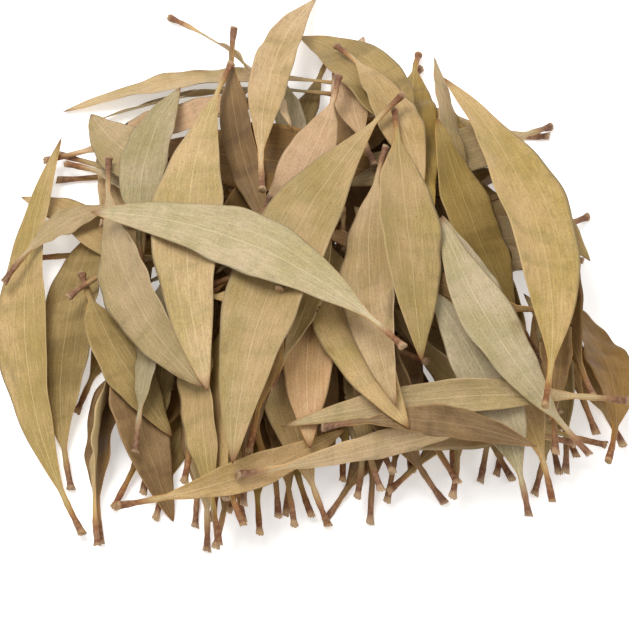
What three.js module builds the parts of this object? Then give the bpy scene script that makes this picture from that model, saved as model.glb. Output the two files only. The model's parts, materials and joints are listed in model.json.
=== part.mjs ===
// A loose bunch of dried eucalyptus leaves, lying in a heap on a flat surface.
//
// Frame: millimetres, +Z up, origin on the surface under the middle of the heap, +Y towards its back.
// Every leaf is one closed solid, from the cut end of its stalk to the tip of its blade. The leaves
// are laid down one after another: each one sinks onto those under it until three points of its
// underside bear its weight, as a stiff dry leaf does, and later leaves lie on it in turn.
import * as THREE from "three";

// Driving dimensions, in millimetres.
const HEAP_WIDTH = 285; // left to right
const HEAP_DEPTH = 288; // front to back
const BLADE_THICKNESS = 0.9;
const STALK_DIAMETER = 2.8;
const STALK_LENGTH = 13; // from the cut end to where the blade starts
const CUT_END_DIAMETER = 3.8; // the stalk's foot, where it broke from its twig
const FOOT_LENGTH = 4; // how far up the stalk the wider foot reaches
const RESTING_GAP = 0.35; // air left between leaves that bear on each other

// Shape of a blade, as powers of a sine: where it is widest, and how finely each end tapers.
const WIDEST_SHIFT = 0.95;
const STALK_TAPER = 1.4;
const TIP_TAPER = 0.85;

// How finely a leaf is made, and how finely its resting place is felt out.
const STATIONS = 13;
const GRID_STEP = 1;
const GRID_MARGIN = 60;
const SETTLING_PASSES = 5;

const GOLDEN_ANGLE = 137.5;
const radians = THREE.MathUtils.degToRad;

/** Half the leaf's width at a share t of its length, from the stalk's cut end to the tip. */
function halfWidth(leaf, t) {
  const along = t * leaf.length;
  const stalk = STALK_DIAMETER / 2;
  const foot = Math.max(0, 1 - along / FOOT_LENGTH);
  const round = stalk + (CUT_END_DIAMETER / 2 - stalk) * foot;
  const u = Math.max(0, (along - STALK_LENGTH) / (leaf.length - STALK_LENGTH));
  const taper = THREE.MathUtils.lerp(STALK_TAPER, TIP_TAPER, u);
  const blade = (leaf.width / 2) * Math.sin(Math.PI * u ** WIDEST_SHIFT) ** taper;
  const ending = Math.min(1, (1 - t) * STATIONS);
  return Math.max(blade, round * ending);
}

/** Thickness at t: round in the stalk, thin in the blade, and fading into the blade between. */
function thickness(leaf, t) {
  const along = t * leaf.length;
  const fade = THREE.MathUtils.smoothstep(along, 0.6 * STALK_LENGTH, 2 * STALK_LENGTH);
  const stalk = Math.min(2 * halfWidth(leaf, t), CUT_END_DIAMETER) * Math.cos(Math.PI / 6);
  return THREE.MathUtils.lerp(stalk, BLADE_THICKNESS, fade);
}

/** Centre of the leaf at t: the chord along X, bowed sideways and arched by parabolas. */
function centre(leaf, t) {
  const hump = 1 - (2 * t - 1) ** 2;
  return new THREE.Vector3((t - 0.5) * leaf.length, leaf.bow * hump, leaf.arch * hump);
}

/** The six points of the leaf's section at t: edge, two on top, edge, two underneath. */
function section(leaf, t) {
  const slope = 1 - 2 * t;
  const along = new THREE.Vector3(leaf.length, 4 * leaf.bow * slope, 4 * leaf.arch * slope).normalize();
  const side = new THREE.Vector3(0, 0, 1).cross(along).normalize();
  side.applyAxisAngle(along, radians(leaf.twist) * (t - 0.5));
  const up = new THREE.Vector3().crossVectors(along, side);
  const half = halfWidth(leaf, t);
  const skin = thickness(leaf, t) / 2;
  const cup = leaf.cup * (half / (leaf.width / 2)) ** 2;
  const point = (share, lift) =>
    centre(leaf, t)
      .addScaledVector(side, share * half)
      .addScaledVector(up, cup * share ** 2 + lift);
  return [
    point(1, 0),
    point(0.5, skin),
    point(-0.5, skin),
    point(-1, 0),
    point(-0.5, -skin),
    point(0.5, -skin),
  ];
}

/** A leaf's closed skin, with its centre of area at the origin and its stalk towards -X. */
function leafGeometry(leaf) {
  const rings = [];
  for (let i = 0; i < STATIONS; i++) rings.push(section(leaf, i / STATIONS));
  const sides = rings[0].length;
  const points = [...rings.flat(), centre(leaf, 0), centre(leaf, 1)];
  const foot = rings.length * sides;
  const tip = foot + 1;
  const faces = [];
  for (let k = 0; k < sides; k++) {
    const next = (k + 1) % sides;
    faces.push(foot, next, k);
    for (let i = 0; i + 1 < rings.length; i++) {
      const a = i * sides;
      const b = a + sides;
      faces.push(a + k, a + next, b + k, a + next, b + next, b + k);
    }
    const last = (rings.length - 1) * sides;
    faces.push(last + k, last + next, tip);
  }
  const geometry = new THREE.BufferGeometry().setFromPoints(points).setIndex(faces);
  const middle = new THREE.Vector3();
  const felt = surfacePoints(geometry);
  for (const p of felt) middle.addScaledVector(p, 1 / felt.length);
  return geometry.translate(-middle.x, -middle.y, -middle.z);
}

/** Points spread over a geometry's faces, none further apart than the grid's step. */
function surfacePoints(geometry) {
  const corner = (i) => new THREE.Vector3().fromBufferAttribute(geometry.attributes.position, i);
  const index = geometry.index.array;
  const points = [];
  for (let f = 0; f < index.length; f += 3) {
    const [a, b, c] = [corner(index[f]), corner(index[f + 1]), corner(index[f + 2])];
    const longest = Math.max(a.distanceTo(b), b.distanceTo(c), c.distanceTo(a));
    const n = Math.ceil(longest / GRID_STEP);
    for (let i = 0; i <= n; i++)
      for (let j = 0; i + j <= n; j++) {
        const [u, v] = [i / n, j / n];
        points.push(a.clone().multiplyScalar(1 - u - v).addScaledVector(b, u).addScaledVector(c, v));
      }
  }
  return points;
}

/** The height of what already lies in the heap, on a square grid over the surface. */
class Ground {
  constructor() {
    const side = Math.max(HEAP_WIDTH, HEAP_DEPTH) + 2 * GRID_MARGIN;
    this.cells = Math.ceil(side / GRID_STEP);
    this.height = new Float32Array(this.cells ** 2).fill(-RESTING_GAP);
  }

  column(v) {
    const cell = Math.floor(v / GRID_STEP + this.cells / 2);
    return THREE.MathUtils.clamp(cell, 1, this.cells - 2);
  }

  /** The height that a point of the next leaf has to clear. */
  under(p) {
    return this.height[this.column(p.y) * this.cells + this.column(p.x)] + RESTING_GAP;
  }

  /** Raises the ground to a laid leaf's skin, and one cell round it. */
  cover(points) {
    for (const p of points) {
      const [i, j] = [this.column(p.x), this.column(p.y)];
      for (let dj = -1; dj <= 1; dj++)
        for (let di = -1; di <= 1; di++) {
          const cell = (j + dj) * this.cells + i + di;
          if (this.height[cell] < p.z) this.height[cell] = p.z;
        }
    }
  }
}

/** How much each of three plan points weighs where they balance at the origin. */
function balance([p, q, r]) {
  const area = (q.x - p.x) * (r.y - p.y) - (r.x - p.x) * (q.y - p.y);
  const wp = (q.x * r.y - r.x * q.y) / area;
  const wq = (r.x * p.y - p.x * r.y) / area;
  return [wp, wq, 1 - wp - wq];
}

/**
 * The lowest plane over the origin that clears every need, a point whose z is the lift it asks for.
 * It bears on three needs with the origin between them: the three points that a leaf rests on.
 */
function restingPlane(needs) {
  const far = 1e3;
  const deep = -1e5;
  let feet = [0, 120, 240].map(
    (a) => new THREE.Vector3(far * Math.cos(radians(a)), far * Math.sin(radians(a)), deep),
  );
  for (;;) {
    const across = new THREE.Vector3().subVectors(feet[1], feet[0]);
    const normal = new THREE.Vector3().subVectors(feet[2], feet[0]).cross(across);
    const [slopeX, slopeY] = [-normal.x / normal.z, -normal.y / normal.z];
    const lift = feet[0].z - slopeX * feet[0].x - slopeY * feet[0].y;
    let worst = null;
    let excess = 1e-4;
    for (const p of needs) {
      const short = p.z - (lift + slopeX * p.x + slopeY * p.y);
      if (short > excess) [worst, excess] = [p, short];
    }
    if (!worst) return { lift, slopeX, slopeY };
    const trials = feet.map((_, k) => feet.map((foot, m) => (m === k ? worst : foot)));
    const steadiness = trials.map((trial) => Math.min(...balance(trial)));
    const best = steadiness.indexOf(Math.max(...steadiness.filter(Number.isFinite)));
    feet = trials[best];
  }
}

/** Lowers a leaf onto the ground, tipping it until it rests, and adds it to the ground. */
function layDown(mesh, ground) {
  const local = surfacePoints(mesh.geometry);
  const placed = () => {
    mesh.updateMatrix();
    return local.map((p) => p.clone().applyMatrix4(mesh.matrix));
  };
  const need = (p) => new THREE.Vector3().subVectors(p, mesh.position).setZ(ground.under(p) - p.z);
  const needs = () => placed().map(need);
  for (let pass = 0; pass < SETTLING_PASSES; pass++) {
    const { lift, slopeX, slopeY } = restingPlane(needs());
    const axis = new THREE.Vector3(slopeY, -slopeX, 0);
    const tip = new THREE.Quaternion().setFromAxisAngle(axis.clone().normalize(), Math.atan(axis.length()));
    mesh.quaternion.premultiply(tip);
    mesh.position.z += lift;
  }
  mesh.position.z += Math.max(...needs().map((p) => p.z));
  ground.cover(placed());
}

// The leaves at the bottom of the heap, laid in a wheel so that they prop each other up.
const BED_LEAVES = 8;
const BED_TONE = "umber";
const BED_LEAF = { length: 140, width: 31, bow: 9, arch: 24, cup: 4, twist: 26 };
const BED_RADIUS = 40; // from the middle of the heap to the middle of each
const BED_SKEW = 60; // degrees from pointing straight outwards

// The leaves over them, in the order in which they were laid down. Each gives its tone, the place of
// its stalk's cut end (x, y) and of its tip (x, y) in hundredths of half the heap's width and depth,
// then its blade's width, how far it is bowed to its left, arched upwards and cupped, all in
// millimetres, and its twist in degrees.
const LAID_LEAVES = [
  ["back_leaf_01", "sage", 14, 60, -69, 62, 18, -9, 7, 2, 14],
  ["right_leaf_01", "khaki", 92, 13, 14, -7, 22, 8, 10, 2, 18],
  ["right_leaf_02", "straw", 88, 7, 7, -29, 22, -6, 10, 2, -14],
  ["right_leaf_03", "khaki", 82, 52, 11, 10, 24, 6, 10, 2, 10],
  ["front_leaf_01", "khaki", 82, -75, 23, -26, 24, 6, 10, 3, -18],
  ["front_leaf_02", "straw", 77, -82, 38, -21, 24, -6, 9, 3, 18],
  ["front_leaf_03", "umber", 34, -87, 13, -16, 24, 8, 11, 3, -14],
  ["front_leaf_04", "straw", 3, -92, -13, -16, 24, 8, 11, 3, -18],
  ["front_leaf_05", "khaki", -35, -96, -15, -23, 24, 8, 10, 3, 14],
  ["front_leaf_06", "khaki", -30, -100, -33, -18, 24, -8, 10, 3, -14],
  ["left_leaf_01", "umber", -69, -91, -48, -16, 22, 8, 9, 3, 14],
  ["left_leaf_02", "khaki", -66, -94, -57, -20, 20, -6, 8, 3, -14],
  ["front_leaf_07", "umber", -63, -21, -40, -86, 24, -6, 8, 2, 10],
  ["left_leaf_04", "olive", -77, -74, -69, 19, 31, 8, 7, 2, 8],
  ["back_leaf_02", "khaki", 18, 63, -78, 67, 24, -11, 6, 2, -10],
  ["back_leaf_03", "straw", -37, 103, -7, 28, 18, 5, 7, 1, 14],
  ["back_leaf_04", "umber", -28, 76, -14, -2, 16, -5, 6, 1, -10],
  ["back_leaf_05", "blush", 17, 15, 12, 92, 19, 6, 7, 1, 10],
  ["back_leaf_06", "olive", 31, 86, 35, -4, 22, -5, 7, 1, -14],
  ["back_leaf_07", "khaki", 45, -16, 41, 65, 18, 4, 6, 1, 14],
  ["right_leaf_04", "olive", 69, -37, 34, 33, 26, 10, 7, 2, 14],
  ["right_leaf_05", "umber", 94, -70, 81, -3, 27, -12, 8, 3, 21],
  ["left_leaf_06", "khaki", -47, -11, -88, 31, 20, -6, 7, 1, 10],
  ["left_leaf_05", "khaki", -78, -93, -87, 42, 25, 19, 8, 3, -14],
  ["left_leaf_07", "straw", -50, -21, -65, 43, 18, -5, 7, 2, 10],
  ["left_leaf_08", "olive", -72, -7, -43, -63, 24, -8, 8, 2, 10],
  ["left_leaf_09", "sage", -52, -69, -42, -2, 19, -4, 7, 2, 12],
  ["left_leaf_10", "khaki", -30, 3, -75, 57, 24, 6, 7, 1, 10],
  ["left_leaf_12", "khaki", -96, -5, -61, 21, 13, 5, 5, 1, 16],
  ["left_leaf_03", "olive", -74, -11, -37, -3, 18, 5, 6, 2, 10],
  ["left_leaf_13", "sage", -54, -12, -45, 61, 22, 6, 8, 2, -7],
  ["left_leaf_11", "khaki", -74, 26, -32, -57, 28, -9, 9, 3, -7],
  ["front_leaf_08", "straw", -56, -97, 14, -67, 14, -5, 5, 2, 20],
  ["front_leaf_09", "straw", -22, -85, 56, -60, 14, 6, 5, 2, -10],
  ["front_leaf_10", "blush", 3, 0, -2, -72, 24, -5, 8, 3, 7],
  ["back_leaf_08", "olive", 38, 13, -1, 95, 28, -10, 8, 3, -10],
  ["back_leaf_09", "straw", 12, 79, 35, 4, 20, 5, 7, 1, 14],
  ["right_leaf_06", "sage", 70, -63, 36, -2, 25, 8, 6, 2, -10],
  ["right_leaf_07", "umber", 74, -36, 11, -18, 18, 6, 6, 1, 28],
  ["right_leaf_08", "sage", 67, -91, 38, -24, 24, -6, 6, 2, 14],
  ["front_leaf_11", "khaki", 95, -57, -7, -64, 15, -6, 5, 2, 7],
  ["front_leaf_12", "umber", 3, -67, 66, -70, 14, 5, 6, 2, 25],
  ["centre_leaf_01", "khaki", -3, 8, 25, -72, 28, -6, 9, 3, 7],
  ["right_leaf_09", "sage", 79, -79, 35, -6, 23, 10, 8, 2, -10],
  ["centre_leaf_02", "straw", 18, 22, 20, -65, 26, -6, 8, 3, 7],
  ["centre_leaf_03", "khaki", -32, 61, -36, -58, 31, -11, 10, 3, -7],
  ["centre_leaf_04", "blush", 12, 52, -13, -5, 21, 6, 6, 2, 10],
  ["centre_leaf_05", "khaki", 26, 37, 32, -52, 30, -5, 8, 3, -7],
  ["right_leaf_10", "khaki", 75, -66, 55, 58, 34, -17, 10, 4, 10],
  ["crown_leaf_01", "straw", -21, 0, 0, 108, 18, 10, 7, 2, -14],
  ["crown_leaf_02", "khaki", 21, 45, -30, -80, 38, -14, 10, 4, 7],
  ["crown_leaf_03", "sage", 32, -49, -64, 10, 27, -13, 5, 2, -10],
];

// Colours of the dried blades.
const TONES = {
  khaki: 0xc1ab7e,
  sage: 0xbbae8d,
  straw: 0xc9b48a,
  blush: 0xcbb08b,
  olive: 0xb1945c,
  umber: 0x876a42,
};

/** One leaf's mesh, with its middle over (x, y) and its tip pointing along heading, in degrees. */
function makeLeaf(name, tone, leaf, x, y, heading) {
  const material = new THREE.MeshStandardMaterial({ color: TONES[tone], roughness: 0.8 });
  material.name = `${tone}_leaf`;
  const mesh = new THREE.Mesh(leafGeometry(leaf), material);
  mesh.name = name;
  mesh.rotation.set(0, 0, radians(heading));
  mesh.position.set(x, y, 0);
  return mesh;
}

/** A place given in hundredths of half the heap's width and depth. */
function onSurface(x, y) {
  return new THREE.Vector2((x / 200) * HEAP_WIDTH, (y / 200) * HEAP_DEPTH);
}

const heap = new THREE.Group();
heap.name = "dried_eucalyptus_bunch";
const ground = new Ground();

for (let i = 0; i < BED_LEAVES; i++) {
  const angle = i * GOLDEN_ANGLE;
  const [x, y] = [BED_RADIUS * Math.cos(radians(angle)), BED_RADIUS * Math.sin(radians(angle))];
  const name = `bed_leaf_${String(i + 1).padStart(2, "0")}`;
  const mesh = makeLeaf(name, BED_TONE, BED_LEAF, x, y, angle + BED_SKEW);
  layDown(mesh, ground);
  heap.add(mesh);
}

for (const [name, tone, stalkX, stalkY, tipX, tipY, width, bow, arch, cup, twist] of LAID_LEAVES) {
  const stalk = onSurface(stalkX, stalkY);
  const tip = onSurface(tipX, tipY);
  const chord = new THREE.Vector2().subVectors(tip, stalk);
  const leaf = { length: chord.length(), width, bow, arch, cup, twist };
  const over = stalk.add(tip).divideScalar(2);
  const mesh = makeLeaf(name, tone, leaf, over.x, over.y, THREE.MathUtils.radToDeg(chord.angle()));
  layDown(mesh, ground);
  heap.add(mesh);
}

const box = new THREE.Box3().setFromObject(heap, true);
const middle = box.getCenter(new THREE.Vector3());
for (const mesh of heap.children) {
  mesh.position.sub(new THREE.Vector3(middle.x, middle.y, box.min.z));
  mesh.updateMatrix();
}

export default heap;
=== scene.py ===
"""The looks of a loose heap of dried eucalyptus leaves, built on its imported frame.

Each CAD leaf gives its own line, width and cupping, and carries a finely made leaf. The space
under and between them is filled with further leaves, each set at a height where it fits.
"""

import json
import logging
import math
from dataclasses import dataclass
from enum import Enum
from typing import Any

import bpy
import numpy as np
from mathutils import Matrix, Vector
from numpy.typing import NDArray


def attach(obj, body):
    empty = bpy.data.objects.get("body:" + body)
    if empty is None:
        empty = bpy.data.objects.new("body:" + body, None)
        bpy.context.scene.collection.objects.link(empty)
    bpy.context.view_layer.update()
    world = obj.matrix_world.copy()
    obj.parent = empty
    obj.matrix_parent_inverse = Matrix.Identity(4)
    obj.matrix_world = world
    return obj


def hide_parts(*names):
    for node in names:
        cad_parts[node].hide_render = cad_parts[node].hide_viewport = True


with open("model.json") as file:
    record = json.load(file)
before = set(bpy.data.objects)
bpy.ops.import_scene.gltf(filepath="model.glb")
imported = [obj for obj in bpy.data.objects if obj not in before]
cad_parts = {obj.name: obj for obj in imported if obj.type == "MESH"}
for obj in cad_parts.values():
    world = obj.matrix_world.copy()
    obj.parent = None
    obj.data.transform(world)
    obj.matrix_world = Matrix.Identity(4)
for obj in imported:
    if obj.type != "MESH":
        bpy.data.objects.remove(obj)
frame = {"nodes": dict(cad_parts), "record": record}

Array = NDArray[np.float64]
log = logging.getLogger("heap")

MM = 0.001
ROOT = "root"

# The leaf's plan, shared with the frame: where a blade is widest and how finely it tapers.
STALK_LENGTH = 13 * MM
WIDEST_SHIFT = 0.95
STALK_TAPER = 1.4
TIP_TAPER = 0.85
RINGS = 13
RING_POINTS = 6

BLADE_HALF_THICKNESS = 0.24 * MM
STALK_RADIUS = 1.3 * MM
FOOT_FLARE = 0.55 * MM
FOOT_FADE = 2.6 * MM
LOWEST = 0.4 * MM  # points under this are pressed together just above the surface
VEIN_WIDTH = 0.55 * MM
SIDE_VEINS = 0.43  # how far out the two lighter side veins run, as a share of the half width


def to_linear(colour: str) -> tuple[float, float, float, float]:
    """Turns an sRGB hex colour into linear RGBA.

    Args:
        colour: Six hex digits, with or without a leading hash.

    Returns:
        Red, green and blue from 0 to 1, and an alpha of 1.
    """
    digits = colour.lstrip("#")
    parts = [int(digits[i : i + 2], 16) / 255 for i in (0, 2, 4)]
    linear = [p / 12.92 if p <= 0.04045 else ((p + 0.055) / 1.055) ** 2.4 for p in parts]
    return (linear[0], linear[1], linear[2], 1.0)


def unit(vectors: Array) -> Array:
    """Vectors along the last axis, each scaled to length 1."""
    return vectors / np.maximum(np.linalg.norm(vectors, axis=-1, keepdims=True), 1e-12)


def smooth_step(x: Array, low: float, high: float) -> Array:
    """Rises smoothly from 0 at low to 1 at high."""
    u = np.clip((x - low) / (high - low), 0, 1)
    return u * u * (3 - 2 * u)


def hermite(knots: Array, values: Array, at: Array) -> Array:
    """Draws a smooth curve through values, with slopes taken from each one's neighbours.

    Args:
        knots: Rising positions, one for each value.
        values: One row for each knot.
        at: Positions to read the curve at.

    Returns:
        One row for each position.
    """
    slopes = np.gradient(values, knots, axis=0)
    i = np.clip(np.searchsorted(knots, at, side="right") - 1, 0, len(knots) - 2)
    step = knots[i + 1] - knots[i]
    u = (at - knots[i]) / step
    shape = (-1,) + (1,) * (values.ndim - 1)
    u, step = u.reshape(shape), step.reshape(shape)
    return (
        (2 * u**3 - 3 * u**2 + 1) * values[i]
        + (u**3 - 2 * u**2 + u) * step * slopes[i]
        + (3 * u**2 - 2 * u**3) * values[i + 1]
        + (u**3 - u**2) * step * slopes[i + 1]
    )


def blade_share(along: Array, length: float) -> Array:
    """The blade's half width as a share of its greatest, at distances from the stalk's cut end."""
    u = np.clip((along - STALK_LENGTH) / (length - STALK_LENGTH), 0, 1)
    taper = STALK_TAPER + (TIP_TAPER - STALK_TAPER) * u
    return np.maximum(np.sin(np.pi * u**WIDEST_SHIFT), 0) ** taper


class Tone(Enum):
    """The sorts of dried blade in the heap; each value is the start of its material's name."""

    KHAKI = "khaki"
    SAGE = "sage"
    STRAW = "straw"
    BLUSH = "blush"
    OLIVE = "olive"
    UMBER = "umber"

    @property
    def slot(self) -> str:
        """The record's material slot for this tone."""
        return f"{self.value}_leaf"


@dataclass(frozen=True)
class LeafForm:
    """A leaf's line in space.

    Attributes:
        knots: Share of the leaf's length at each station, 0 at the cut end and 1 at the tip.
        centre: The middle vein, one point a station.
        side: Unit vectors towards the leaf's left edge.
        up: Unit vectors out of its upper face.
        cup: How far the edges stand above the middle vein.
        length: From the cut end straight to the tip.
        width: The blade's greatest width.
    """

    knots: Array
    centre: Array
    side: Array
    up: Array
    cup: Array
    length: float
    width: float

    def moved(self, turn: Array, shift: Array) -> "LeafForm":
        """The same leaf turned by a 3 by 3 matrix about the origin, then shifted."""
        return LeafForm(
            self.knots,
            self.centre @ turn.T + shift,
            self.side @ turn.T,
            self.up @ turn.T,
            self.cup,
            self.length,
            self.width,
        )


def form_from_node(node: bpy.types.Object) -> LeafForm:
    """Reads a leaf's line back from its CAD solid.

    The solid is thirteen rings of six points between a point at the foot and one at the tip, so
    walking over its edges from the tip meets the rings one by one.

    Args:
        node: The CAD leaf.

    Returns:
        Its form, with a station at each ring and one at the tip.
    """
    mesh = node.data
    points = np.empty(len(mesh.vertices) * 3)
    mesh.vertices.foreach_get("co", points)
    mesh.calc_loop_triangles()
    faces = np.empty(len(mesh.loop_triangles) * 3, dtype=np.int64)
    mesh.loop_triangles.foreach_get("vertices", faces)
    _, first, same = np.unique(
        np.round(points.reshape(-1, 3) / (0.01 * MM)), axis=0, return_index=True, return_inverse=True
    )
    points = points.reshape(-1, 3)[first]
    faces = same.reshape(-1)[faces].reshape(-1, 3)
    near = np.eye(len(points), dtype=bool)
    for a, b in ((0, 1), (1, 2), (2, 0)):
        near[faces[:, a], faces[:, b]] = near[faces[:, b], faces[:, a]] = True
    walks = []
    for start in range(len(points)):
        seen = np.zeros(len(points), dtype=bool)
        seen[start] = True
        layers = [np.array([start])]
        while not seen.all():
            reached = near[layers[-1]].any(axis=0) & ~seen
            seen |= reached
            layers.append(np.flatnonzero(reached))
        if [len(layer) for layer in layers] == [1] + [RING_POINTS] * RINGS + [1]:
            walks.append(layers)
    tip_gap = [np.linalg.norm(points[w[1]].mean(axis=0) - points[w[0][0]]) for w in walks]
    walk = walks[int(np.argmax(tip_gap))]
    tip = points[walk[0][0]]
    rings = np.array([points[layer] for layer in walk[-2:0:-1]])
    middle = rings.mean(axis=1)
    length = float(np.linalg.norm(tip - middle[0]))
    knots = np.append(np.arange(RINGS) / RINGS, 1.0)
    along = unit(np.gradient(np.vstack([middle, tip]), axis=0))

    side = np.zeros((RINGS + 1, 3))
    cup = np.zeros(RINGS + 1)
    half = np.zeros(RINGS + 1)
    vein = np.vstack([middle, tip])
    widest = int(np.argmax([np.ptp(ring, axis=0).max() for ring in rings]))
    order = list(range(widest, RINGS)) + list(range(widest - 1, -1, -1))
    for i in order:
        ring = rings[i]
        gaps = np.linalg.norm(ring[:, None] - ring[None], axis=-1)
        a, b = np.unravel_index(np.argmax(gaps), gaps.shape)
        half[i] = gaps[a, b] / 2
        before = widest if i == widest else (i - 1 if i > widest else i + 1)
        if gaps[a, b] > 5 * MM:
            way = unit(ring[a] - ring[b])
            if i != widest and way @ side[before] < 0:
                way = -way
            inner = np.delete(np.arange(RING_POINTS), [a, b])
            lift = ring[[a, b]].mean(axis=0) - ring[inner].mean(axis=0)
            out = np.cross(along[i], way)
            cup[i] = lift @ out / 0.75
            vein[i] = ring[inner].mean(axis=0) - out * cup[i] * 0.25
        else:
            way = side[before] - (side[before] @ along[i]) * along[i]
        side[i] = unit(way)
    side[-1] = side[-2]
    up = unit(np.cross(along, side))
    if up[RINGS // 2, 2] < 0:
        side, up, cup = -side, -up, -cup
    share = blade_share(knots * length, length)
    width = 2 * half[widest] / share[widest]
    cup_shape = np.where(share > 0.2, cup / np.maximum(share, 0.2) ** 2, 0)
    depth = float(np.median(cup_shape[share > 0.5]))
    return LeafForm(knots, vein, side, up, depth * share**2, length, width)


def form_from_sizes(
    length: float, width: float, bow: float, arch: float, cup: float, twist: float
) -> LeafForm:
    """Draws a leaf's line by the same rules as the frame's leaves.

    The chord lies along X. The middle vein is bowed sideways and arched upwards by parabolas, and
    the section turns evenly from one end to the other.

    Args:
        length: Chord length.
        width: Greatest width of the blade.
        bow: How far the middle is bowed to the left.
        arch: How far the middle is arched upwards.
        cup: How far the edges stand up.
        twist: Turn from end to end, in radians.

    Returns:
        The form, with its middle over the origin.
    """
    knots = np.linspace(0, 1, RINGS + 1)
    hump = 1 - (2 * knots - 1) ** 2
    centre = np.column_stack([(knots - 0.5) * length, bow * (hump - 0.6), arch * (hump - 0.6)])
    slope = 1 - 2 * knots
    along = unit(np.column_stack([np.full_like(knots, length), 4 * bow * slope, 4 * arch * slope]))
    flat = unit(np.cross([0, 0, 1], along))
    upright = np.cross(along, flat)
    turn = (twist * (knots - 0.5))[:, None]
    side = flat * np.cos(turn) + upright * np.sin(turn)
    up = np.cross(along, side)
    share = blade_share(knots * length, length)
    return LeafForm(knots, centre, side, up, cup * share**2, length, width)


@dataclass(frozen=True)
class Grain:
    """How finely a leaf is made.

    Attributes:
        along: Steps from the cut end to the tip.
        across: Steps from edge to edge, on each face.
    """

    along: int
    across: int


@dataclass
class LeafMesh:
    """One leaf's surface as arrays.

    Attributes:
        points: Corners, one row each.
        quads: Four corners a row; a triangle repeats its last corner.
        place: Share along, share across from -1 to 1, and the leaf's own random number.
        zone: How much each corner is stalk, tip and cut end.
        sheet: Distances along and across in metres, and 1 on the upper face or 0 below.
    """

    points: Array
    quads: NDArray[np.int64]
    place: Array
    zone: Array
    sheet: Array


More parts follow.
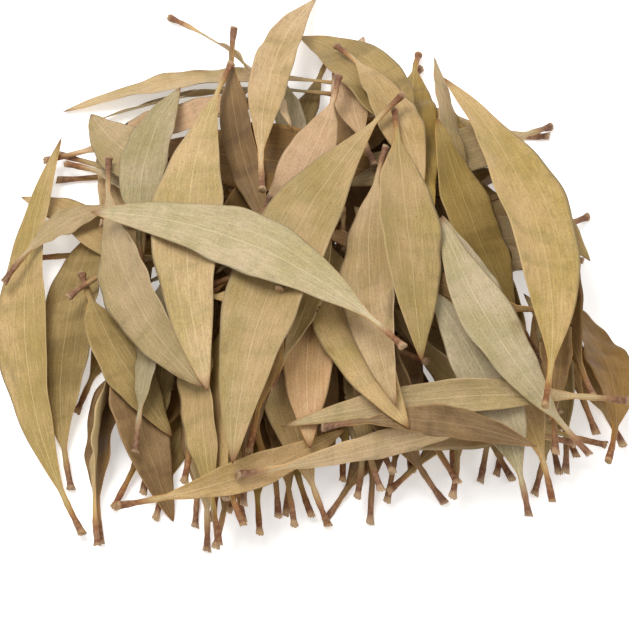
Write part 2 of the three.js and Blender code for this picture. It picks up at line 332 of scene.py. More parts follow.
def make_leaf(form: LeafForm, grain: Grain, rng: np.random.Generator) -> LeafMesh:
    """Builds the closed skin of one dried leaf over its form.

    Rings run round the leaf: over the upper face from one edge to the other, and back underneath.
    Half the thickness is an ellipse in the stalk and a thin flat lens in the blade, with three low
    ridges for the main veins. The blade is then thrown out of its plane by a ruffle that grows
    towards its edges and by slow swells, each a sum of sines with random phases, and its outline
    swells and shrinks a little. The stalk is knobbly, and its cut end is oblique and rough.

    Args:
        form: The leaf's line.
        grain: How finely to make it.
        rng: Source of the leaf's own irregularities.

    Returns:
        The leaf's surface.
    """
    tune = rng.random(16)
    phase = tune[:8] * 2 * np.pi
    seed = float(tune[8])
    t = np.linspace(0, 1, grain.along + 1)[:-1]
    t = t + 0.012 * np.sin(2 * np.pi * t)
    along = t * form.length
    centre = hermite(form.knots, form.centre, t)
    side = unit(hermite(form.knots, form.side, t))
    up = unit(hermite(form.knots, form.up, t))
    share = blade_share(along, form.length)
    cup = form.cup.max() if form.cup.max() > -form.cup.min() else form.cup.min()

    slow = 0.035 * np.sin(2 * np.pi * 2.3 * t + phase[0])
    quick = 0.02 * np.sin(2 * np.pi * 5.7 * t + phase[1])
    swell = 1 + slow + quick
    stalk = (STALK_RADIUS + FOOT_FLARE * np.exp(-along / FOOT_FADE)) * (
        1 + 0.09 * np.sin(along / (1.9 * MM) + phase[2]) + 0.05 * np.sin(along / (0.8 * MM) + phase[3])
    )
    closing = np.minimum(1, (1 - t) * 14) ** 0.8
    slender = stalk * closing * (1 - 0.75 * smooth_step(t, 0.5, 0.9))
    half = np.maximum(form.width / 2 * share * swell, slender)
    flat = smooth_step(along, 0.55 * STALK_LENGTH, 1.9 * STALK_LENGTH)
    round_half = np.minimum(half, stalk) * 0.92
    skin = round_half * (1 - flat) + BLADE_HALF_THICKNESS * flat * (0.45 + 0.55 * closing)

    w_top = np.linspace(1, -1, grain.across + 1)
    w = np.concatenate([w_top, w_top[-2:0:-1]])
    upper = np.concatenate([np.ones(grain.across + 1), -np.ones(grain.across - 1)])
    upper[[0, grain.across]] = 0
    w, upper = w[None], upper[None]
    t2, half2, flat2, skin2 = t[:, None], half[:, None], flat[:, None], skin[:, None]
    lens = np.sqrt(np.maximum(0, 1 - np.abs(w) ** (2 + 4 * flat2)))
    ridges = sum(
        height * np.exp(-(((w - at) * half2) ** 2) / (2 * VEIN_WIDTH**2))
        for at, height in ((0, 0.16 * MM), (SIDE_VEINS, 0.07 * MM), (-SIDE_VEINS, 0.07 * MM))
    )
    ridges = ridges * flat2 * (1 - smooth_step(t2, 0.85, 0.99))
    ruffle_size = (0.5 + 0.9 * tune[9]) * MM
    ruffle = ruffle_size * (
        np.sin(2 * np.pi * (2.2 + 1.6 * tune[10]) * t2 + phase[4] + 1.4 * w)
        + 0.45 * np.sin(2 * np.pi * (6.5 + 2 * tune[11]) * t2 + phase[5] - 2.2 * w)
    )
    swells = 0.3 * MM * np.sin(2 * np.pi * 3.1 * t2 + phase[6] + 2.5 * w) + 0.12 * MM * np.sin(
        2 * np.pi * 9.3 * t2 + phase[7] - 3.1 * w
    )
    lift = (cup * share[:, None] ** 2 + ruffle * share[:, None]) * w**2 + swells * share[:, None]
    across = w * half2
    height = lift + upper * (skin2 * lens + ridges)
    points = centre[:, None] + side[:, None] * across[..., None] + up[:, None] * height[..., None]

    forward = unit(form.centre[1] - form.centre[0])
    rough = np.sin(np.arange(w.size) * 2.4 + phase[0]) * 0.35 * MM
    points[0] += forward * (rough + 0.5 * MM * w[0])[:, None]

    ring = w.size
    rows = np.arange(grain.along)[:, None] * ring
    k = np.arange(ring)[None]
    following = (k + 1) % ring
    body = np.stack(
        [rows[:-1] + k, rows[:-1] + following, rows[1:] + following, rows[1:] + k], axis=-1
    ).reshape(-1, 4)
    foot, tip = grain.along * ring, grain.along * ring + 1
    k, following = k[0], following[0]
    foot_cap = np.stack([np.full(ring, foot), following, k, k], axis=-1)
    last = (grain.along - 1) * ring
    tip_cap = np.stack([last + k, last + following, np.full(ring, tip), np.full(ring, tip)], axis=-1)
    foot_point = points[0].mean(axis=0) + forward * 0.7 * MM
    tip_point = form.centre[-1]

    fading = 1 - smooth_step(along, 0.5 * STALK_LENGTH, 1.25 * STALK_LENGTH)
    stalkness = np.broadcast_to(fading[:, None], across.shape)
    tipness = np.broadcast_to(smooth_step(t2, 0.95, 0.995), across.shape)
    cutness = np.broadcast_to((along < 0.4 * MM)[:, None] * 1.0, across.shape)
    flat_points = np.vstack([points.reshape(-1, 3), foot_point, tip_point])
    place = np.column_stack([
        np.append(np.broadcast_to(t2, across.shape).ravel(), [0, 1]),
        np.append(np.broadcast_to(w, across.shape).ravel(), [0, 0]),
        np.full(across.size + 2, seed),
    ])
    zone = np.column_stack([
        np.append(stalkness.ravel(), [1, 0]),
        np.append(tipness.ravel(), [0, 1]),
        np.append(cutness.ravel(), [1, 0]),
    ])
    sheet = np.column_stack([
        np.append(np.broadcast_to(along[:, None], across.shape).ravel(), [0, form.length]),
        np.append(across.ravel(), [0, 0]),
        np.append(np.broadcast_to(upper > 0, across.shape).ravel() * 1.0, [1, 1]),
    ])
    return LeafMesh(flat_points, np.vstack([body, foot_cap, tip_cap]), place, zone, sheet)


def bake_map(grain: Grain, cell: tuple[float, float, float, float], ring: int) -> Array:
    """Lays one leaf's faces out flat, upper face over lower face, in a cell of the texture.

    Args:
        grain: How finely the leaf is made.
        cell: Left, bottom, width and height of the cell.
        ring: Points round the leaf.

    Returns:
        Texture places for the four corners of each of the leaf's quads, in order.
    """
    left, bottom, wide, high = cell
    pad = 0.04
    rows = np.arange(grain.along)[:, None]
    k = np.arange(ring)[None]

    def at(row: Any, turn: Any, under: Any) -> Array:
        """The place of a point in the strip of its face."""
        u = left + wide * (pad + (1 - 2 * pad) * row / grain.along)
        share = np.where(under, (turn - grain.across) / grain.across, turn / grain.across)
        v = bottom + high * (pad / 2 + np.where(under, 0.5, 0) + (0.5 - pad) * share)
        return np.stack(np.broadcast_arrays(u, v), axis=-1)

    under = k >= grain.across
    body = np.stack(
        [
            at(rows[:-1], k, under),
            at(rows[:-1], k + 1, under),
            at(rows[1:], k + 1, under),
            at(rows[1:], k, under),
        ],
        axis=2,
    ).reshape(-1, 4, 2)
    turn, below = k[0], under[0]
    middle = np.where(below, 1.5 * grain.across, 0.5 * grain.across)
    first, before = at(0, turn, below), at(-0.02 * grain.along, middle, below)
    foot = np.stack([before, at(0, turn + 1, below), first, first], axis=1)
    end, beyond = grain.along - 1, at(grain.along, middle, below)
    tip = np.stack([at(end, turn, below), at(end, turn + 1, below), beyond, beyond], axis=1)
    return np.concatenate([body, foot, tip])


def mesh_object(
    name: str, leaves: list[LeafMesh], grain: Grain, material: bpy.types.Material
) -> bpy.types.Object:
    """Joins leaves into one smooth-shaded object.

    Args:
        name: The object's name.
        leaves: Leaves made with the same grain.
        grain: That grain.
        material: Finish of all of them.

    Returns:
        The object, linked to the scene.
    """
    ring = 2 * grain.across
    count = len(leaves[0].points)
    points = np.vstack([leaf.points for leaf in leaves])
    low = points[:, 2] < LOWEST
    points[low, 2] = LOWEST * np.exp(points[low, 2] / LOWEST - 1)
    quads = np.vstack([leaf.quads + i * count for i, leaf in enumerate(leaves)])
    columns = 1 if len(leaves) == 1 else 2
    lines = math.ceil(len(leaves) / columns)
    maps = np.concatenate([
        bake_map(grain, ((i % columns) / columns, (i // columns) / lines, 1 / columns, 1 / lines), ring)
        for i in range(len(leaves))
    ])
    sizes = np.where(quads[:, 2] == quads[:, 3], 3, 4)
    keep = np.ones((len(quads), 4), dtype=bool)
    keep[sizes == 3, 3] = False
    corners = quads[keep]
    mesh = bpy.data.meshes.new(name)
    mesh.vertices.add(len(points))
    mesh.vertices.foreach_set("co", points.ravel())
    mesh.loops.add(len(corners))
    mesh.loops.foreach_set("vertex_index", corners.astype(np.int32))
    mesh.polygons.add(len(quads))
    mesh.polygons.foreach_set("loop_start", np.append(0, np.cumsum(sizes)[:-1]).astype(np.int32))
    mesh.polygons.foreach_set("loop_total", sizes.astype(np.int32))
    mesh.polygons.foreach_set("use_smooth", np.ones(len(quads), dtype=bool))
    mesh.update(calc_edges=True)
    layer = mesh.uv_layers.new(name="OFBake")
    layer.data.foreach_set("uv", maps[keep].ravel())
    for label, values in (
        ("place", np.vstack([leaf.place for leaf in leaves])),
        ("zone", np.vstack([leaf.zone for leaf in leaves])),
        ("sheet", np.vstack([leaf.sheet for leaf in leaves])),
    ):
        attribute = mesh.attributes.new(label, "FLOAT_VECTOR", "POINT")
        attribute.data.foreach_set("vector", values.ravel())
    mesh.validate()
    mesh.materials.append(material)
    piece = bpy.data.objects.new(name, mesh)
    bpy.context.scene.collection.objects.link(piece)
    return piece


class Pile:
    """The heap's space as small boxes, each free or taken, so that leaves can be tucked in.

    Attributes:
        cell: Width and depth of a box.
        layer: Height of a box.
        reach: Half the width of the space.
        layers: Boxes from the surface up.
    """

    cell = 1.25 * MM
    layer = 0.75 * MM
    reach = 165 * MM
    layers = 120
    below = 4  # layers kept under the surface, all of them taken
    slack = 0.012  # share of a leaf that may brush its neighbours

    def __init__(self) -> None:
        """Starts with nothing in the space but the surface."""
        self.side = int(2 * self.reach / self.cell)
        self.taken = np.zeros((self.side, self.side, self.layers), dtype=bool)
        self.taken[:, :, : self.below] = True
        self.roof = np.zeros((self.side, self.side))

    def columns(self, points: Array) -> tuple[NDArray[np.int64], NDArray[np.int64]]:
        """The column of boxes that each point stands in."""
        i = np.clip(((points[:, :2] + self.reach) / self.cell).astype(np.int64), 1, self.side - 2)
        return i[:, 0], i[:, 1]

    def level(self, heights: Array) -> NDArray[np.int64]:
        """The layer that each height lies in."""
        return np.clip(np.floor(heights / self.layer).astype(np.int64) + self.below, 1, self.layers - 2)

    def take(self, points: Array) -> None:
        """Marks the boxes that hold these points, and the boxes round each, as taken."""
        i, j = self.columns(points)
        k = self.level(points[:, 2])
        for di in (-1, 0, 1):
            for dj in (-1, 0, 1):
                for dk in (-1, 0, 1):
                    self.taken[i + di, j + dj, k + dk] = True

    def cover(self) -> None:
        """Notes how high the heap stands over each column, and a little way round it."""
        heights = np.arange(self.layers) - self.below
        top = np.where(self.taken, heights, 0).max(axis=2) * self.layer
        self.shade = top.copy()
        for axis in (0, 1):
            top = np.max([np.roll(top, d, axis=axis) for d in range(-7, 8)], axis=0)
        self.roof = top

    def lifts(self, points: Array, most: int) -> NDArray[np.bool_]:
        """Whether the points are all but free at each number of layers up, from 0 to most."""
        free = np.ones(most, dtype=bool)
        for some in (points[::11], points):
            i, j = self.columns(some)
            k = np.floor(some[:, 2] / self.layer).astype(np.int64) + self.below
            rises = np.flatnonzero(free)
            levels = np.clip(k[:, None] + rises[None], 0, self.layers - 1)
            met = self.taken[i[:, None], j[:, None], levels].mean(axis=0)
            free[rises] = met <= self.slack
            if not free.any():
                break
        return free


def sheet_points(form: LeafForm, along: int, across: int) -> Array:
    """A grid of points over a leaf's blade and stalk, halfway through its thickness."""
    t = np.linspace(0, 1, along)
    half = np.maximum(form.width / 2 * blade_share(t * form.length, form.length), STALK_RADIUS)
    w = np.linspace(-1, 1, across)[None]
    across_by = (w * half[:, None])[..., None]
    lift = (hermite(form.knots, form.cup, t)[:, None] * w**2)[..., None]
    points = (
        hermite(form.knots, form.centre, t)[:, None]
        + unit(hermite(form.knots, form.side, t))[:, None] * across_by
        + unit(hermite(form.knots, form.up, t))[:, None] * lift
    )
    return points.reshape(-1, 3)


def turned(heading: float, pitch: float, roll: float) -> Array:
    """The matrix that rolls a leaf about its chord, tips its far end up, then turns it to a heading."""
    ch, sh = math.cos(heading), math.sin(heading)
    cp, sp = math.cos(pitch), math.sin(pitch)
    cr, sr = math.cos(roll), math.sin(roll)
    about_z = np.array([[ch, -sh, 0], [sh, ch, 0], [0, 0, 1]])
    about_y = np.array([[cp, 0, -sp], [0, 1, 0], [sp, 0, cp]])
    about_x = np.array([[1, 0, 0], [0, cr, -sr], [0, sr, cr]])
    return about_z @ about_y @ about_x


@dataclass(frozen=True)
class Foot:
    """A leaf whose stalk sticks out of the heap, at its front or low on its left.

    Attributes:
        x: Where its cut end lies, in millimetres.
        y: The same, from front to back.
        heading: Which way the leaf points from there, in degrees.
    """

    x: float
    y: float
    heading: float = 90


@dataclass(frozen=True)
class Tuck:
    """How one lot of hidden leaves is tried.

    Attributes:
        tries: Places drawn for it.
        keep: Most leaves kept.
        outward: Direction from the heap's middle to the leaves' cut ends, in degrees, or None for
            leaves that lie beside the heap's other leaves.
        shelter: Least share of a leaf that must lie under others.
        length: Shortest and longest leaf.
    """

    tries: int
    keep: int
    outward: float | None
    shelter: float
    length: tuple[float, float]


class Hidden:
    """The leaves under and between the CAD's own, fitted into the free space.

    Attributes:
        pile: The space, with the CAD's leaves already in it.
        rng: Source of the places and sizes.
        hosts: The leaves that lie in the heap so far.
    """

    drawn = 14  # random numbers drawn for each try
    highest = 100  # layers of the pile that a leaf is tried at
    foot_tries = 70  # sizes and slopes tried behind each foot
    foot_lengths = (70 * MM, 125 * MM)
    foot_shelter = 0.4
    foot_poke = 16 * MM
    rim_poke = 6 * MM
    farthest_shift = 56 * MM  # twice the most that a leaf lies to one side of its host
    outer_limit = 149 * MM  # no point of a leaf lies further out than this, along X or Y
    most_above = 0.03  # share of a leaf that may stand over the CAD's leaves
    most_out = 0.05  # share that may stand up outside the heap's outline

    def __init__(self, pile: Pile, rng: np.random.Generator, hosts: list[LeafForm]) -> None:
        """Keeps the space, the source of numbers and the leaves to lie beside."""
        self.pile = pile
        self.rng = rng
        self.hosts = list(hosts)

    def rim_distance(self, angle: float) -> float:
        """How far the heap reaches from its middle in a direction."""
        steps = np.arange(60 * MM, 155 * MM, 2 * MM)
        line = np.column_stack([np.cos(angle) * steps, np.sin(angle) * steps])
        i, j = self.pile.columns(line)
        held = self.pile.shade[i, j] > 0
        return float(steps[held].max()) if held.any() else float(steps[0])

    def shaped(self, draw: Array, low: float, high: float) -> LeafForm:
        """A leaf of its own size and curves, lying along X."""
        length = low + (high - low) * draw[0]
        return form_from_sizes(
            length,
            length * (0.15 + 0.06 * draw[1]),
            bow=(draw[2] - 0.5) * 0.16 * length,
            arch=(draw[3] - 0.3) * 16 * MM,
            cup=(draw[4] - 0.3) * 5 * MM,
            twist=(draw[5] - 0.5) * 0.9,
        )

    def from_foot(self, draw: Array, foot: Array, heading: float, low: float, high: float) -> LeafForm:
        """A leaf that starts at a place on the rim and points inwards, rising a little."""
        form = self.shaped(draw, low, high)
        turn = turned(heading, math.radians(-3 + 20 * draw[6]), math.radians(50 * (draw[7] - 0.5)))
        start = turn @ form.centre[0]
        return form.moved(turn, np.array([foot[0] - start[0], foot[1] - start[1], 0]))

    def beside(self, draw: Array) -> LeafForm:
        """A copy of a leaf already in the heap, turned and shifted within its own slope."""
        host = self.hosts[int(draw[0] * len(self.hosts))]
        middle = host.centre[RINGS // 2]
        angle = math.radians(110 * (draw[1] - 0.5)) + (math.pi if draw[2] < 0.4 else 0)
        normal = host.up[RINGS // 2]
        tilt = np.array(
            [[0, -normal[2], normal[1]], [normal[2], 0, -normal[0]], [-normal[1], normal[0], 0]]
        )
        turn = np.eye(3) + math.sin(angle) * tilt + (1 - math.cos(angle)) * tilt @ tilt
        shift = self.farthest_shift * (draw[3:5] - 0.5)
        size = 0.78 + 0.3 * draw[5]
        centred = LeafForm(
            knots=host.knots,
            centre=(host.centre - middle) * size,
            side=host.side,
            up=host.up,
            cup=host.cup * size,
            length=host.length * size,
            width=host.width * size * 0.95,
        )
        return centred.moved(turn, middle + np.array([shift[0], shift[1], 0]))

    def settle(self, form: LeafForm, draw: Array, shelter: float, poke: float) -> LeafForm | None:
        """Finds a height at which a leaf fits.

        Args:
            form: The leaf, over its place.
            draw: Two numbers from 0 to 1 that choose between the heights.
            shelter: Least share of it that must lie under others.
            poke: How far outside the heap's own outline it may stick up.

        Returns:
            The leaf at its height, or None where it fits at none.
        """
        points = sheet_points(form, 36, 9)
        if np.abs(points[:, :2]).max() > self.outer_limit:
            return None
        bottom = points[:, 2].min()
        points[:, 2] -= bottom
        free = self.pile.lifts(points, self.highest)
        landed = np.flatnonzero(free & ~np.append(False, free[:-1]))
        if not len(landed):
            return None
        i, j = self.pile.columns(points)
        shade, roof = self.pile.shade[i, j], self.pile.roof[i, j]
        heights = points[None, :, 2] + landed[:, None] * self.pile.layer
        above = ((shade > 0) & (heights > shade)).mean(axis=1)
        out = ((shade == 0) & (heights > roof + poke)).mean(axis=1)
        under = (heights < shade).mean(axis=1)
        landed = landed[(above < self.most_above) & (out < self.most_out) & (under >= shelter)]
        if not len(landed):
            return None
        chosen = landed[0] if draw[0] < 0.4 else landed[int(draw[1] * len(landed))]
        return form.moved(np.eye(3), np.array([0, 0, chosen * self.pile.layer - bottom]))

    def keep(self, form: LeafForm) -> LeafForm:
        """Takes a leaf's space in the pile."""
        self.pile.take(sheet_points(form, 110, 21))
        self.hosts.append(form)
        return form

    def stand_feet(self, feet: tuple[Foot, ...]) -> list[LeafForm]:
        """Fits a leaf behind each foot, trying several sizes and slopes for it.

        Args:
            feet: Where the cut ends stick out.

        Returns:
            The leaves that fitted.
        """
        kept = []
        for foot in feet:
            place = np.array([foot.x, foot.y]) * MM
            for number, draw in enumerate(self.rng.random((self.foot_tries, self.drawn))):
                heading = math.radians(foot.heading + (6 + number) * (draw[8] - 0.5))
                near = place + (draw[9:11] - 0.5) * 6 * MM
                form = self.from_foot(draw, near, heading, *self.foot_lengths)
                settled = self.settle(form, draw[11:13], self.foot_shelter, self.foot_poke)
                if settled is not None:
                    kept.append(self.keep(settled))
                    break
        return kept

    def fill(self, tuck: Tuck) -> list[LeafForm]:
        """Tries a lot of leaves one after another, each round those already kept.

        Args:
            tuck: What to try.

        Returns:
            The leaves that fitted.
        """
        kept: list[LeafForm] = []
        for draw in self.rng.random((tuck.tries, self.drawn)):
            if tuck.outward is None:
                form = self.beside(draw)
                poke = 0.0
            else:
                outward = math.radians(tuck.outward + 110 * (draw[9] - 0.5))
                reach = self.rim_distance(outward) + (-14 + 18 * draw[10]) * MM
                foot = reach * np.array([math.cos(outward), math.sin(outward)])
                heading = math.radians(tuck.outward + 180 + 80 * (draw[8] - 0.5))
                form = self.from_foot(draw, foot, heading, *tuck.length)
                poke = self.rim_poke
            settled = self.settle(form, draw[11:13], tuck.shelter, poke)
            if settled is not None:
                kept.append(self.keep(settled))
                if len(kept) == tuck.keep:
                    break
        return kept


@dataclass(frozen=True)
class Blade:
    """The finish of one tone of dried leaf.

    Attributes:
        tone: Which tone.
        base: Main colour of the upper face.
        second: Colour of its broad clouds.
        blotch: Colour of the darker bands across it.
        blotches: How strong those bands are.
        vein: Colour of the veins.
        under: Colour that the lower face leans to.
    """

    tone: Tone
    base: str
    second: str
    blotch: str
    blotches: float
    vein: str
    under: str

    stalk = "96643a"
    foot = "74482e"
    cut = "c2a078"
    margin = "c48f45"
    burnt = "7a4c28"

    def material(self) -> bpy.types.Material:
        """Builds the node material.

        Returns:
            A material that reads only the leaf's own attributes.
        """
        material = bpy.data.materials.new(f"dried_eucalyptus_{self.tone.value}")
        material.use_nodes = True
        tree = material.node_tree
        tree.nodes.clear()

        def add(kind: str, inputs: dict[Any, Any] | None = None, out: Any = 0, **settings: Any) -> Any:
            """Adds a node, sets or links its inputs, and returns one of its outputs."""
            node = tree.nodes.new(kind)
            for key, value in settings.items():
                setattr(node, key, value)
            for key, value in (inputs or {}).items():
                if isinstance(value, bpy.types.NodeSocket):
                    tree.links.new(value, node.inputs[key])
                else:
                    node.inputs[key].default_value = value
            return node.outputs[out]

        def maths(operation: str, a: Any, b: Any = 0.0, c: Any = 0.0) -> Any:
            """One step of arithmetic."""
            return add("ShaderNodeMath", {0: a, 1: b, 2: c}, operation=operation)

        def ramp(value: Any, low: float, high: float, to_low: float = 0.0, to_high: float = 1.0) -> Any:
            """Rises smoothly between two values of its input."""
            return add(
                "ShaderNodeMapRange",
                {0: value, 1: low, 2: high, 3: to_low, 4: to_high},
                interpolation_type="SMOOTHSTEP",
            )

        def mix(share: Any, a: Any, b: Any, blend: str = "MIX") -> Any:
            """Mixes two colours."""
            a = to_linear(a) if isinstance(a, str) else a
            b = to_linear(b) if isinstance(b, str) else b
            return add("ShaderNodeMix", {0: share, 6: a, 7: b}, out=2, data_type="RGBA", blend_type=blend)

        def parts(label: str) -> tuple[Any, Any, Any]:
            """The three numbers of one of the leaf's attributes."""
            vector = add("ShaderNodeAttribute", out="Vector", attribute_name=label)
            node = tree.nodes.new("ShaderNodeSeparateXYZ")
            tree.links.new(vector, node.inputs[0])
            return node.outputs[0], node.outputs[1], node.outputs[2]

        def noise(along: float, across: float, size: float, detail: float = 2.0) -> Any:
            """Clouds of a given size in metres, stretched along or across the leaf."""
            lengthwise = maths("MULTIPLY", s, 1 / along)
            sideways = maths("MULTIPLY", x, 1 / across)
            apart = maths("MULTIPLY", seed, 23.7)
            vector = add("ShaderNodeCombineXYZ", {0: lengthwise, 1: sideways, 2: apart})
            settings = {"Vector": vector, "Scale": 1 / size, "Detail": detail, "Roughness": 0.55}
            return add("ShaderNodeTexNoise", settings)

        t, w, seed = parts("place")
        stalk, tip, cut = parts("zone")
        s, x, upper = parts("sheet")
        span = maths("DIVIDE", maths("ABSOLUTE", x), maths("MAXIMUM", maths("ABSOLUTE", w), 0.02))
        edge = maths("MULTIPLY", maths("SUBTRACT", 1.0, maths("ABSOLUTE", w)), span)

        # Broad clouds of a second colour, as leaves dry unevenly.
        colour = mix(ramp(noise(1.6, 1.0, 24 * MM, 3), 0.38, 0.66), self.base, self.second)
        # Faint darker bands across the blade, from where leaves lay over each other in drying.
        bands = maths("MULTIPLY", ramp(noise(1.0, 5.0, 9 * MM, 2), 0.5, 0.68), self.blotches)
        colour = mix(bands, colour, self.blotch)
        # Burnt patches that reach in from the edges of some leaves.
        outwards = ramp(maths("ABSOLUTE", w), 0.35, 1.0, 0.0, 0.55)
        scorch = maths("MULTIPLY", ramp(noise(1.4, 1.0, 17 * MM, 4), 0.6, 0.72), outwards)
        colour = mix(scorch, colour, self.burnt)
        # Fine fibres that run the length of the blade.
        fibres = noise(14.0, 1.0, 0.55 * MM, 2)
        colour = mix(0.5, colour, mix(ramp(fibres, 0.3, 0.7), "6f6f6f", "9a9a9a"), "OVERLAY")
        # The mealy speckle of a dry leaf's skin, and olive stains that stayed green longest.
        meal = noise(1.6, 1.0, 0.6 * MM, 3)
        colour = mix(0.45, colour, mix(ramp(meal, 0.3, 0.7), "a6a6a6", "d6d4ce"), "OVERLAY")
        stains = ramp(noise(1.2, 1.0, 15 * MM, 4), 0.58, 0.74, 0.0, 0.3)
        colour = mix(stains, colour, self.blotch)
        # Pale parallel veins: one down the middle, one either side, and fainter ones between.
        wander = maths("MULTIPLY", maths("SUBTRACT", noise(3.0, 1.0, 9 * MM, 1), 0.5), 0.5 * MM)
        off_middle = maths("ABSOLUTE", maths("ADD", x, wander))
        middle = ramp(off_middle, 0.08 * MM, 0.34 * MM, 0.36, 0.0)
        aside = maths("SUBTRACT", off_middle, maths("MULTIPLY", span, SIDE_VEINS))
        aside = maths("ABSOLUTE", aside)
        sides = ramp(aside, 0.06 * MM, 0.28 * MM, 0.2, 0.0)
        ripple = maths("ADD", maths("MULTIPLY", w, 7.5), maths("MULTIPLY", wander, 900.0))
        ripple = maths("ABSOLUTE", maths("SUBTRACT", maths("FRACT", ripple), 0.5))
        minor = maths("MULTIPLY", ramp(ripple, 0.3, 0.5, 0.0, 0.06), ramp(span, 3 * MM, 8 * MM))
        veins = maths("MAXIMUM", maths("MAXIMUM", middle, sides), minor)
        colour = mix(maths("MULTIPLY", veins, maths("SUBTRACT", 1.0, stalk)), colour, self.vein)
        # Small brown specks.
        specks = ramp(noise(1.0, 1.0, 1.1 * MM, 1), 0.70, 0.76, 0.0, 0.5)
        colour = mix(specks, colour, self.burnt)
        # A thin amber margin.
        colour = mix(ramp(edge, 0.1 * MM, 0.5 * MM, 0.7, 0.0), colour, self.margin)
        # The lower face is paler and greyer.
        colour = mix(ramp(upper, 0.3, 0.7, 0.45, 0.0), colour, self.under)
        # A brown tip, and a stalk that goes from tan to purple-brown, with a paler cut end.
        colour = mix(maths("MULTIPLY", tip, 0.85), colour, self.burnt)
        woody = mix(ramp(s, 2 * MM, 14 * MM), self.foot, self.stalk)
        woody = mix(ramp(noise(1.0, 1.0, 1.4 * MM, 3), 0.4, 0.7, 0.0, 0.32), woody, self.cut)
        colour = mix(stalk, colour, woody)
        colour = mix(cut, colour, self.cut)
        # Each leaf is a little lighter or darker, and a little warmer or cooler, than the next.
        shade = ramp(maths("FRACT", maths("MULTIPLY", seed, 7.13)), 0.0, 1.0, 0.88, 1.06)
        warmth = ramp(maths("FRACT", maths("MULTIPLY", seed, 3.71)), 0.0, 1.0, 0.92, 1.06)
        own = {"Saturation": warmth, "Value": shade, "Color": colour}
        colour = add("ShaderNodeHueSaturation", own)

        grain = maths("ADD", maths("MULTIPLY", fibres, 0.35), maths("MULTIPLY", veins, 0.5))
        grain = maths("ADD", grain, maths("MULTIPLY", noise(1.0, 1.0, 2.4 * MM, 3), 0.5))
        bump = add("ShaderNodeBump", {"Strength": 0.55, "Distance": 0.22 * MM, "Height": grain})
        rough = ramp(noise(1.0, 1.0, 6 * MM, 2), 0.3, 0.7, 0.52, 0.68)
        surface = add(
            "ShaderNodeBsdfPrincipled",
            {"Base Color": colour, "Roughness": rough, "Specular IOR Level": 0.3, "Normal": bump},
        )
        output = tree.nodes.new("ShaderNodeOutputMaterial")
        tree.links.new(surface, output.inputs["Surface"])
        return material


BLADES = (
    # Khaki: the commonest dried eucalyptus blade, a dull yellowish tan.
    Blade(Tone.KHAKI, "c9b17e", "b99e62", "a58a51", 0.3, "dcc797", "cdb88e"),
    # Sage: a blade that dried quickly and kept a greyish green.
    Blade(Tone.SAGE, "c4b48e", "b8a676", "a5945c", 0.28, "d6caa4", "c6ba98"),
    # Straw: a pale sun-dried blade.
    Blade(Tone.STRAW, "cfb785", "c0a267", "ae8e54", 0.3, "e0cb9c", "d0ba90"),
    # Blush: a pale blade with a pinkish cast.
    Blade(Tone.BLUSH, "d1b488", "c3a06e", "b08e5e", 0.28, "dfc7a0", "d1b793"),
    # Olive: a darker, greener blade.
    Blade(Tone.OLIVE, "b99b5c", "a38648", "8a6f3a", 0.45, "c9b27c", "bba373"),
    # Umber: an old brown blade; also dealt, with olive, to the low front leaves as painted shade.
    Blade(Tone.UMBER, "a07c4a", "876639", "6d4d2b", 0.5, "b49360", "a38154"),
)

LEAF_GRAIN = Grain(along=84, across=18)
HIDDEN_GRAIN = Grain(along=36, across=8)

FRONT_FEET = (
    Foot(-108, -115, 80), Foot(-103, -129, 95), Foot(-94, -129, 84), Foot(-86, -119, 70),
    Foot(-75, -122, 100), Foot(-65, -125, 84), Foot(-61, -131, 108), Foot(-53, -129, 94),
    Foot(-47, -139, 100), Foot(-43, -140, 80), Foot(-39, -127, 92), Foot(-35, -123, 74),
    Foot(-33, -133, 98), Foot(-27, -129, 85), Foot(-21, -137, 92), Foot(-16, -128, 104),
    Foot(-11, -119, 76), Foot(-6, -132, 88), Foot(-2, -122, 112), Foot(0, -131, 118),
    Foot(5, -127, 94), Foot(8, -132, 124), Foot(15, -118, 96), Foot(21, -128, 78),
    Foot(25, -119, 100), Foot(28, -117, 84), Foot(31, -112, 66), Foot(35, -113, 104),
    Foot(40, -103, 88), Foot(48, -109, 112), Foot(53, -115, 120), Foot(56, -102, 92),
    Foot(59, -120, 106), Foot(63, -112, 122), Foot(75, -104, 84), Foot(90, -94, 100),
    Foot(92, -109, 76), Foot(101, -104, 112), Foot(108, -108, 96), Foot(112, -96, 118),
    Foot(123, -97, 128), Foot(130, -90, 122), Foot(-99, -92, 80), Foot(-92, -100, 96),
    Foot(-50, -105, 88), Foot(-70, -112, 78), Foot(-56, -122, 100), Foot(44, -100, 76),
    Foot(68, -100, 110), Foot(83, -106, 98), Foot(-30, -112, 92), Foot(12, -110, 84),
    Foot(-80, -134, 92), Foot(-18, -112, 100), Foot(2, -110, 90), Foot(-64, -108, 84),
    Foot(-104, -100, 92), Foot(-92, -80, 86), Foot(-86, -70, 95), Foot(-112, -84, 88),
    Foot(-96, -112, 90), Foot(-110, -60, 80), Foot(-78, -100, 84), Foot(-100, -70, 96),
    Foot(-24, -122, 88), Foot(-10, -126, 96), Foot(18, -120, 84), Foot(-46, -122, 90),
)

# Tones dealt out in turn: dark ones low at the front, as painted shade where the heap's overhang shades
# its front, and all of them elsewhere.
PAINTED_SHADE_TONES = (Tone.UMBER, Tone.OLIVE, Tone.UMBER, Tone.KHAKI)
MIXED_TONES = (
    Tone.KHAKI, Tone.UMBER, Tone.OLIVE, Tone.STRAW, Tone.SAGE, Tone.BLUSH, Tone.KHAKI, Tone.UMBER,
)
FRONT = 270

TUCKS = (
    Tuck(1200, 20, FRONT, 0.6, (75 * MM, 120 * MM)),
    Tuck(900, 12, 180, 0.6, (75 * MM, 130 * MM)),
    Tuck(900, 12, 0, 0.6, (75 * MM, 130 * MM)),
    Tuck(900, 12, 90, 0.6, (75 * MM, 130 * MM)),
    Tuck(7000, 115, None, 0.85, (0, 0)),
)


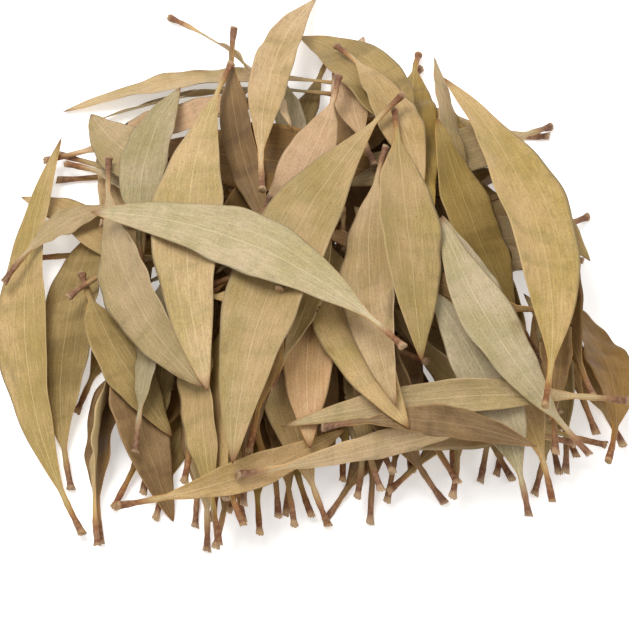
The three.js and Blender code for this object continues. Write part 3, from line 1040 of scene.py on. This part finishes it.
class Stage:
    """The pale floor, the soft light and the camera."""

    floor_colour = "f4f3f1"
    floor_glow = 0.4  # lifts the floor to an even white
    floor_reach = 4.0
    world_strength = 0.56
    # Name, place in metres, side in metres and power in watts.
    lamps = (
        ("key", (-0.45, 0.25, 1.3), 0.7, 14.0),
        ("fill", (0.9, -0.2, 1.2), 1.0, 5.0),
    )
    elevation = math.radians(60)
    distance = 1.5
    view_side = 640 / 2270  # metres seen along the view's longer side, at the heap's middle
    aim = (-0.3 * MM, -22.4 * MM)  # the point looked at, to the right of the origin and above it

    def build(self) -> None:
        """Makes them all."""
        self._floor()
        self._world()
        self._lights()
        self._camera()

    def _floor(self) -> None:
        """A wide plain sheet just under the heap."""
        mesh = bpy.data.meshes.new("floor")
        r = self.floor_reach
        mesh.from_pydata([(-r, -r, 0), (r, -r, 0), (r, r, 0), (-r, r, 0)], [], [(0, 1, 2, 3)])
        floor = bpy.data.objects.new("floor", mesh)
        bpy.context.scene.collection.objects.link(floor)
        material = bpy.data.materials.new("matt_white_floor")
        material.use_nodes = True
        shader = material.node_tree.nodes["Principled BSDF"]
        shader.inputs["Base Color"].default_value = to_linear(self.floor_colour)
        shader.inputs["Roughness"].default_value = 0.9
        shader.inputs["Specular IOR Level"].default_value = 0.1
        shader.inputs["Emission Color"].default_value = (1, 1, 1, 1)
        shader.inputs["Emission Strength"].default_value = self.floor_glow
        mesh.materials.append(material)

    def _world(self) -> None:
        """Even pale light from everywhere."""
        world = bpy.data.worlds.new("studio")
        world.use_nodes = True
        background = world.node_tree.nodes["Background"]
        background.inputs["Color"].default_value = (1, 1, 1, 1)
        background.inputs["Strength"].default_value = self.world_strength
        bpy.context.scene.world = world
        bpy.context.scene.view_settings.view_transform = "Standard"

    def _lights(self) -> None:
        """A broad key from above and behind on the left, and a weaker fill from the right."""
        for name, place, size, power in self.lamps:
            light = bpy.data.lights.new(name, "AREA")
            light.energy = power
            light.size = size
            lamp = bpy.data.objects.new(name, light)
            lamp.location = place
            lamp.rotation_euler = (-Vector(place)).to_track_quat("-Z", "Y").to_euler()
            bpy.context.scene.collection.objects.link(lamp)

    def _camera(self) -> None:
        """Looks down at the heap from the front."""
        data = bpy.data.cameras.new("camera")
        data.sensor_width = 36
        data.lens = self.distance / self.view_side * data.sensor_width
        back = Vector((0, -math.cos(self.elevation), math.sin(self.elevation)))
        high = Vector((0, math.sin(self.elevation), math.cos(self.elevation)))
        right = Vector((1, 0, 0))
        target = right * self.aim[0] + high * self.aim[1]
        camera = bpy.data.objects.new("camera", data)
        camera.location = target + back * self.distance
        camera.rotation_euler = (-back).to_track_quat("-Z", "Y").to_euler()
        bpy.context.scene.collection.objects.link(camera)
        bpy.context.scene.camera = camera


class Heap:
    """The leaves, made in order: those the CAD holds, then the hidden ones."""

    seed = 20260
    lot_size = 18

    def __init__(self) -> None:
        """Makes the finishes and empties the pile."""
        self.rng = np.random.default_rng(self.seed)
        self.finishes = {blade.tone: blade.material() for blade in BLADES}
        self.pile = Pile()
        self.forms: list[LeafForm] = []
        self.tones = {
            row["node"]: Tone(row["material_slot"].removesuffix("_leaf"))
            for row in frame["record"]["subparts"]
        }

    def lay_frame_leaves(self) -> None:
        """Gives every CAD leaf its fine surface."""
        for name, node in frame["nodes"].items():
            form = form_from_node(node)
            tone = self.tones[name]
            leaf = make_leaf(form, LEAF_GRAIN, self.rng)
            piece = mesh_object(f"fine_{name}", [leaf], LEAF_GRAIN, self.finishes[tone])
            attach(piece, ROOT)
            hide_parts(name)
            self.pile.take(sheet_points(form, 150, 31))
            self.forms.append(form)
            log.info("%s: %.0f by %.0f mm, %s", name, form.length / MM, form.width / MM, tone.value)
        self.pile.cover()

    def tuck_hidden_leaves(self) -> None:
        """Fills the gaps with further leaves, joined into pieces of one tone; those low at the front get
        dark tones as painted shade.
        """
        hidden = Hidden(self.pile, self.rng, self.forms)
        lots: dict[Tone, list[LeafMesh]] = {}

        def share_out(forms: list[LeafForm], tones: tuple[Tone, ...]) -> None:
            """Makes the leaves and deals them out to the tones in turn."""
            for i, form in enumerate(forms):
                lots.setdefault(tones[i % len(tones)], []).append(make_leaf(form, HIDDEN_GRAIN, self.rng))

        feet = hidden.stand_feet(FRONT_FEET)
        log.info("stood %d feet of %d at the front", len(feet), len(FRONT_FEET))
        # The front feet get the dark tones: painted shade under the heap's overhang.
        share_out(feet, PAINTED_SHADE_TONES)
        for tuck in TUCKS:
            lot = hidden.fill(tuck)
            log.info("tucked in %d leaves towards %s", len(lot), tuck.outward)
            # Leaves tucked in at the front rim also get the dark tones as painted shade.
            share_out(lot, PAINTED_SHADE_TONES if tuck.outward == FRONT else MIXED_TONES)
        for tone, leaves in lots.items():
            for number, first in enumerate(range(0, len(leaves), self.lot_size), start=1):
                lot_leaves = leaves[first : first + self.lot_size]
                name = f"hidden_{tone.value}_leaves_{number}"
                piece = mesh_object(name, lot_leaves, HIDDEN_GRAIN, self.finishes[tone])
                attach(piece, ROOT)
                log.info("%s: %d leaves", piece.name, len(lot_leaves))


def main() -> None:
    """Builds the looks in order."""
    logging.basicConfig(level=logging.INFO, format="%(message)s")
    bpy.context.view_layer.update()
    heap = Heap()
    heap.lay_frame_leaves()
    heap.tuck_hidden_leaves()
    Stage().build()


if __name__ == "__main__":
    main()
